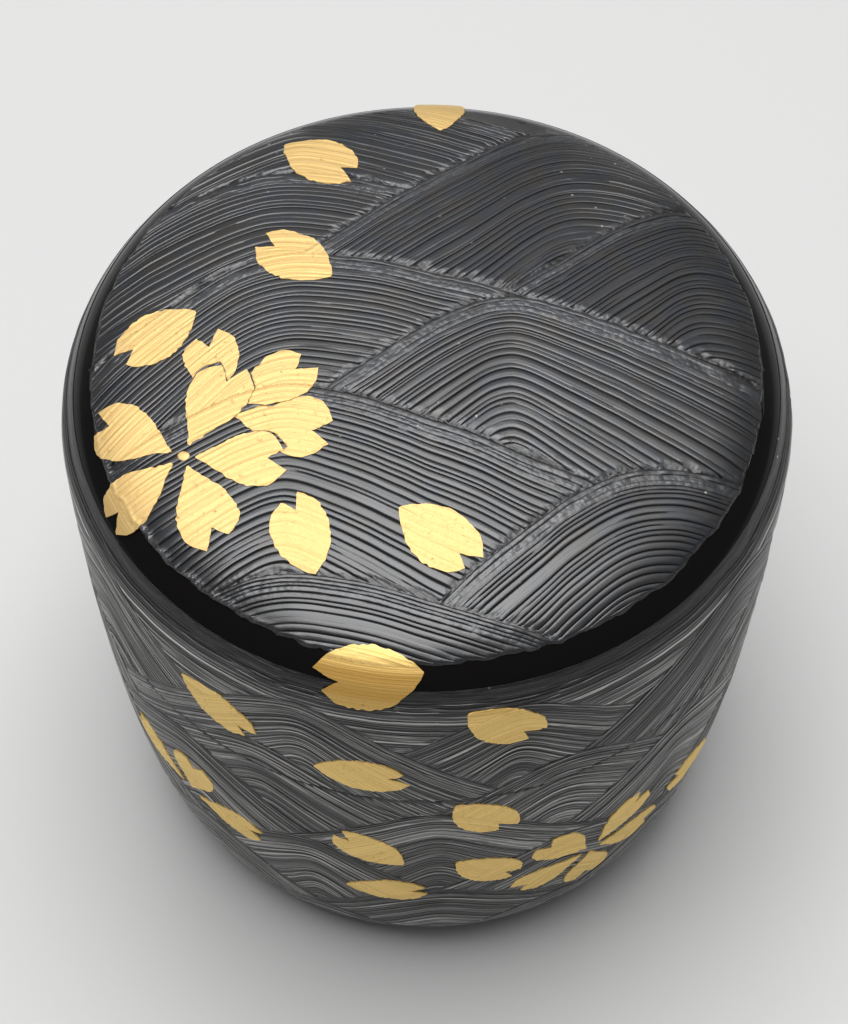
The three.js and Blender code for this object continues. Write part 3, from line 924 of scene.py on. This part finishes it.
turnPiece("lidLining", "lid", "lid_lining_lacquer", "lining_lacquer",
          soften(lidLiningSection(), 0.14))


def bodyGroundSection():
    out = spread(bodySeam, 1.5, sideEnd - 1.2, 0.2, outlineLength)
    back = spread(bodySeam, 2.5, sideEnd, 0.8, outlineLength)
    return (face(out, groundDepths(out), seatHeight, True)
            + face(back, layers["groundBack"], seatHeight, True)[::-1])


turnPiece("bodyGround", "body", "body_ground_lacquer", "ground_lacquer",
          soften(bodyGroundSection(), 0.08), 320)


def cupInside(backset):
    lengths = spread(bodySeam + 2.0, 1.2, outlineLength)
    bore = ring(lidSeam, shape["lidWall"])[0] - shape["fit"] - shape["upstandWall"] + backset
    wall = face(lengths, layers["wall"] - backset)[::-1]
    return ([(0, layers["wall"] - backset)] + wall
            + [(bore, seatHeight), (bore, seatHeight + shape["upstandHeight"] - backset)])


def bodyLiningSection():
    lining = layers["lining"]
    upstand = ring(lidSeam, shape["lidWall"])[0] - shape["fit"]
    top = seatHeight + shape["upstandHeight"]
    seatEdge = ring(bodySeam, layers["coreFace"])[0]
    return (cupInside(lining)
            + [(upstand - lining, top - lining), (upstand - lining, seatHeight - lining),
               (seatEdge, seatHeight - lining), (seatEdge, seatHeight),
               (upstand, seatHeight), (upstand, top)]
            + cupInside(0)[::-1])


turnPiece("bodyLining", "body", "body_lining_lacquer", "lining_lacquer",
          soften(bodyLiningSection(), 0.12))

foot = {"ringWidth": 2.2, "hollow": 0.6, "thickness": 0.70, "gap": 0.08}


def footSection():
    outside = outline[-1, 0] - foot["gap"]
    bore = outline[-1, 0] - foot["ringWidth"]
    hollow = [(0, 0), (bore - foot["hollow"], 0), (bore, -foot["hollow"])]
    under = [(radius, foot["hollow"] + level) for radius, level in hollow]
    over = [(radius, level + foot["thickness"]) for radius, level in under]
    return under + [(outside, 0), (outside, foot["thickness"])] + over[::-1]


turnPiece("footCoat", "body", "foot_lacquer", "ground_lacquer", soften(footSection(), 0.2))
for coreName in ("lid_wood_core", "body_wood_core"):
    paint(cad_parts[coreName], "turned_wood")
print("turned pieces made")


# gold petals

petal = {
    "length": 8.1, "width": 5.3, "notch": 0.2, "lift": 0.07, "thickness": 0.16, "clearance": 0.12,
    "along": (0, 0.06, 0.17, 0.42, 0.68, 0.89, 1), "rows": 50, "columns": 32,
    "across": (0.03, 0.26, 0.56, 0.96, 0.98, 0.72, 0.34),
    "dropAcross": (0.02, 0.13, 0.33, 0.80, 1.02, 0.84, 0.40),
    "ragged": 0.09, "follow": 0.4, "heartShare": 0.0344, "cutReach": 1.2,
}


def petalHalf(along, drop):
    # Half the width, as a smooth curve through the given shares
    xs = np.array(petal["along"], float)
    ys = np.array(petal["dropAcross" if drop else "across"], float)
    slopes = np.gradient(ys, xs)
    cell = np.clip(np.searchsorted(xs, along, side="right") - 1, 0, len(xs) - 2)
    step = xs[cell + 1] - xs[cell]
    t = (along - xs[cell]) / step
    start, end = slopes[cell] * step, slopes[cell + 1] * step
    return (ys[cell] * (2 * t ** 3 - 3 * t ** 2 + 1) + start * (t ** 3 - 2 * t ** 2 + t)
            + ys[cell + 1] * (3 * t ** 2 - 2 * t ** 3) + end * (t ** 3 - t ** 2))


def flatPetal(along, column, spot, grow=0.0):
    # Flat place of a petal's point about its tip; the far end is drawn back into the notch
    key = spot["key"]
    # A cutter is wider than its petal, by more in some places than in others
    grow = grow * (0.3 + 2.4 * smoothChance(key + 50, along * 8 + column * 3 + 9) ** 2)
    length, halfWidth = petal["length"] * spot["size"], petal["width"] * spot["size"] / 2
    lean, uneven = np.random.default_rng(key).uniform(-1, 1, 2) * (0.2, 0.045)
    side = np.where(column < 0, key, key + 400)
    coarse, fine = smoothChance(side, along * 6) - 0.5, smoothChance(side + 9, along * 24) - 0.5
    rag = (0.5 * coarse + 1.1 * fine) * np.abs(column) ** 3 * petal["ragged"] * 2
    end = (smoothChance(key + 800, (column + 1) * 5) - 0.5) * petal["ragged"] * 2 * along ** 6
    fromNotch = np.abs(column - lean) / (1 - lean * np.sign(column - lean))
    notch = petal["notch"] * along ** 4 * (1 - fromNotch ** 0.85)
    far = length * (along - notch + uneven * column * along ** 5) + end + grow * (2 * along - 1)
    half = halfWidth * petalHalf(along, spot.get("drop")) + grow
    wide = column * half + rag * np.sign(column)
    turn = math.radians(spot["heading"])
    return (far * math.cos(turn) - wide * math.sin(turn),
            far * math.sin(turn) + wide * math.cos(turn))


def petalMesh(name, spot, grow, low, high, follow):
    # A grid becomes the petal's top, and is then drawn down to give it its thickness
    bpy.ops.mesh.primitive_grid_add(x_subdivisions=petal["columns"], y_subdivisions=petal["rows"],
                                    size=2)
    piece = bpy.context.object
    piece.name = piece.data.name = name
    flat = readPoints(piece.data)
    along = unit((flat[:, 1] + 1) / 2)
    right, up = flatPetal(along, np.clip(flat[:, 0], -1, 1), spot, grow)
    if spot["lay"] == "crown":
        u, v, toPoint = spot["x"] + right, -(spot["y"] + up), crownPoint
    else:
        u = (spot["azimuth"] + right / ring(spot["length"], 0)[0]) * girthRadius
        v, toPoint = spot["length"] - up, sidePoint
    depth, height, phase = reliefDepth(spot["lay"], u, v)
    depth = depth * follow
    top, under = toPoint(u, v, depth - high), toPoint(u, v, depth - low)
    bpy.ops.object.mode_set(mode="EDIT")
    bpy.ops.mesh.select_all(action="SELECT")
    bpy.ops.mesh.extrude_region_move(TRANSFORM_OT_translate={"value": (0, 0, 1)})
    bpy.ops.object.mode_set(mode="OBJECT")
    # Each point of the drawn-out grid takes its place from the flat grid's point below it
    co = readPoints(piece.data)
    cells = np.array([petal["columns"], petal["rows"]])
    flatCell = np.rint((flat[:, :2] + 1) / 2 * cells).astype(int)
    lookUp = np.empty(cells + 1, int)
    lookUp[flatCell[:, 0], flatCell[:, 1]] = np.arange(len(flat))
    cell = np.rint((co[:, :2] + 1) / 2 * cells).astype(int)
    source = lookUp[cell[:, 0], cell[:, 1]]
    raised = co[:, 2] > 0.5
    placed = np.where(raised[:, None], top[source], under[source]) * mm
    piece.data.vertices.foreach_set("co", placed.ravel())
    onSides = np.full(len(flat), float(spot["lay"] != "crown"))
    # Painted shade for the gold where it lies over the band
    overBandShade = unit((v - crownCombEnd + 0.6) / 1.4) * onSides
    overBandShade = overBandShade * unit((sideCombStart + 2.2 - v) / 2.6)
    for attribute, values in (("relief", height), ("phase", phase), ("fineness", onSides),
                              ("overBandShade", overBandShade)):
        storeValues(piece.data, attribute, values[source])
    piece.data.update()
    faceOutwards(60)
    return piece


def petalPiece(node, body, spot, inFront=()):
    first, *others = node.split("_")
    name = first + "".join(word.capitalize() for word in others)
    lift, reach = petal["lift"], petal["cutReach"]
    piece = petalMesh(name, spot, 0.0, lift - petal["thickness"], lift, petal["follow"])
    for front in inFront:
        cutter = petalMesh("cutter", front, petal["clearance"], -reach, reach, 0.0)
        selectOnly(piece)
        whole = piece.data.copy()
        # A cut that leaves nothing has failed, and is made again the careful way
        for careful in (False, True):
            cut = piece.modifiers.new("cut", "BOOLEAN")
            cut.operation = "DIFFERENCE"
            cut.object = cutter
            cut.solver = "EXACT"
            cut.use_self = careful
            bpy.ops.object.modifier_apply(modifier=cut.name)
            if piece.data.vertices:
                break
            piece.data = whole.copy()
        bpy.data.meshes.remove(whole)
        bpy.data.objects.remove(cutter)
    finishPiece(piece, body, node, "gold_lacquer")


def onCrown(right, back, heading, size, key=0):
    return {"lay": "crown", "x": right * shape["widest"], "y": back * shape["widest"],
            "heading": heading, "size": size, "key": key}


def onSide(start, distance, bearing, down, heading, size, key=0):
    return {"lay": "side", "azimuth": math.radians(bearing), "length": start + distance * down,
            "heading": heading, "size": size, "key": key}


def aboutHeart(centre, heading, size, key):
    spot = dict(centre, heading=heading, size=size, key=key, drop=True)
    reach, turn = petal["heartShare"] * shape["widest"], math.radians(heading)
    right, up = reach * math.cos(turn), reach * math.sin(turn)
    if centre["lay"] == "crown":
        spot["x"], spot["y"] = centre["x"] + right, centre["y"] + up
    else:
        spot["azimuth"] = centre["azimuth"] + right / float(ring(centre["length"], 0)[0])
        spot["length"] = centre["length"] - up
    return spot


def layPetals(places, body, firstKey, lay, *where):
    for order, (node, place) in enumerate(places.items()):
        petalPiece(node, body, lay(*where, *place, key=firstKey + order))


# Places in shares of the widest radius, then heading and size
crownPetals = {
    "crown_petal_back": (0.04, 0.79, 92, 0.92), "crown_petal_rear_left": (-0.405, 0.749, -35, 1.02),
    "crown_petal_middle": (-0.258, 0.226, 144, 1), "crown_petal_left": (-0.626, 0.135, -146, 1),
    "crown_petal_front_left": (-0.285, -0.681, 108, 0.95),
    "crown_petal_front": (-0.07, -0.5, -39, 1.02)}
layPetals(crownPetals, "lid", 1000, onCrown)

crownBlossom = onCrown(-0.64, -0.323, 0, 1)
frontTurns = ((64, 1.06), (-7, 0.98), (-69, 1), (-142, 0.97), (152, 1.02))
frontPetals = [aboutHeart(crownBlossom, *turn, 1100 + order)
               for order, turn in enumerate(frontTurns)]
for order, spot in enumerate(frontPetals):
    petalPiece(f"crown_blossom_petal_{order + 1}", "lid", spot)

rearBlossom = onCrown(-0.54, -0.2, 0, 1)
rearTurns = ((101, 0.92), (32, 0.98), (-15, 1.1))
rearPetals = [aboutHeart(rearBlossom, *turn, 1200 + order) for order, turn in enumerate(rearTurns)]
for order, spot in enumerate(rearPetals):
    petalPiece(f"rear_blossom_petal_{order + 1}", "lid", spot, frontPetals + rearPetals[:order])

# Places as bearing and share of the way down, then heading and size
lidPetals = {
    "shoulder_petal": (-90.5, 0.602, -168, 1.12), "lid_petal_right": (-84, 0.686, -40, 1),
    "lid_petal_left": (-130.3, 0.811, -30, 1.02), "lid_petal_front": (-107.5, 0.915, 0, 1.04)}
layPetals(lidPetals, "lid", 1300, onSide, 0, lidSeam)

bodyPetals = {
    "body_petal_high": (-85.5, 0.035, -51, 0.99), "body_petal_front": (-94, 0.452, 138, 1),
    "body_petal_low": (-104.2, 0.692, 5, 0.98), "body_petal_middle": (-85, 0.442, -42, 1),
    "body_petal_right": (-28.5, 0.707, 153, 1)}
layPetals(bodyPetals, "body", 1400, onSide, bodySeam, shape["widest"])

bodyBlossoms = {
    "body_blossom_petal": ((-59.8, 0.648, 0, 1), 0.94, (130, 52, -22, -88, -155)),
    "left_blossom_petal": ((-135.5, 0.565, 0, 1), 0.96, (4, 78, 152))}
for node, (place, size, headings) in bodyBlossoms.items():
    centre = onSide(bodySeam, shape["widest"], *place)
    for order, heading in enumerate(headings):
        spot = aboutHeart(centre, heading, size, 1500 + order + int(size * 100))
        petalPiece(f"{node}_{order + 1}", "body", spot)

# The blossom's heart is a low round dot of gold
heart = {"radius": 0.42, "uneven": 0.2, "depth": 0.04, "rise": 0.11}
bpy.ops.mesh.primitive_uv_sphere_add(segments=32, ring_count=16, radius=1)
heartPiece = bpy.context.object
heartPiece.name = "crownBlossomHeart"
ball = readPoints(heartPiece.data)
bearing = np.arctan2(ball[:, 1], ball[:, 0])
flat = ball[:, :2] * (heart["radius"] + heart["uneven"] * smoothChance(911, bearing + 9))[:, None]
dot = crownPoint(crownBlossom["x"] + flat[:, 0], -crownBlossom["y"] + flat[:, 1],
                 heart["depth"] - heart["rise"] * ball[:, 2])
heartPiece.data.vertices.foreach_set("co", (dot * mm).ravel())
storeValues(heartPiece.data, "relief", np.ones(len(dot)))
faceOutwards(180)
finishPiece(heartPiece, "lid", "crown_blossom_heart", "gold_lacquer")
print("petals laid")
